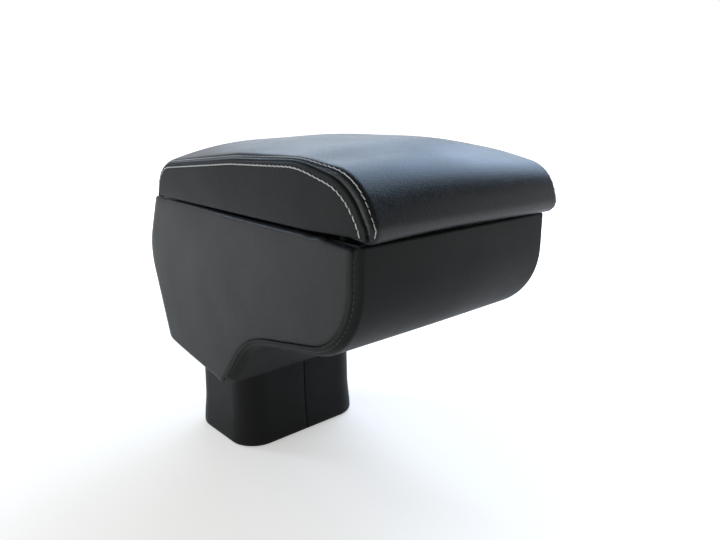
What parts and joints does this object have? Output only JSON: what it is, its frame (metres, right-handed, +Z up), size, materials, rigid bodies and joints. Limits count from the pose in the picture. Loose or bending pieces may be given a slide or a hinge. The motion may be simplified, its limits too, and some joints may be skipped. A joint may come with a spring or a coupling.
{
  "type": "car centre armrest",
  "caption": "Car centre armrest: padded, stitched lid hinged at the back of a covered storage box, on a plug-in post that fits the centre console.",
  "frame": {"origin": "middle of the post's underside", "axes": "+Z up, -Y towards the free front end of the armrest, X across the car"},
  "size_m": [0.194, 0.3056, 0.2781],
  "materials": {
    "plastic": "moulded, fine texture",
    "leatherette": "satin, fine grain",
    "steel": "zinc plated",
    "felt": "needle felt",
    "rubber": "matte",
    "board": "raw plywood",
    "foam": "open-cell foam"
  },
  "bodies": {
    "box": {"post_column": "plastic", "post_cover": "leatherette", "post_foot": "plastic", "post_foot_screws": "steel", "post_top_screws": "steel", "box_shell": "plastic", "box_side_cover": "leatherette", "box_front_cover": "leatherette", "box_lining": "felt", "rim_frame": "plastic", "rim_bumpers": "rubber", "hinge_box_leaf": "steel", "hinge_pin": "steel", "hinge_box_screws": "steel"},
    "lid": {"lid_board": "board", "lid_foam": "foam", "lid_top_cover": "leatherette", "lid_left_panel": "leatherette", "lid_right_panel": "leatherette", "lid_lining": "felt", "hinge_lid_leaf": "steel", "hinge_lid_screws": "steel"}
  },
  "joints": [
    {"name": "lid_hinge", "type": "hinge", "parent": "box", "child": "lid", "pos_m": [0, 0.03849, 0.22275], "axis": [-1, 0, 0], "range_deg": [0, 95]}
  ]
}
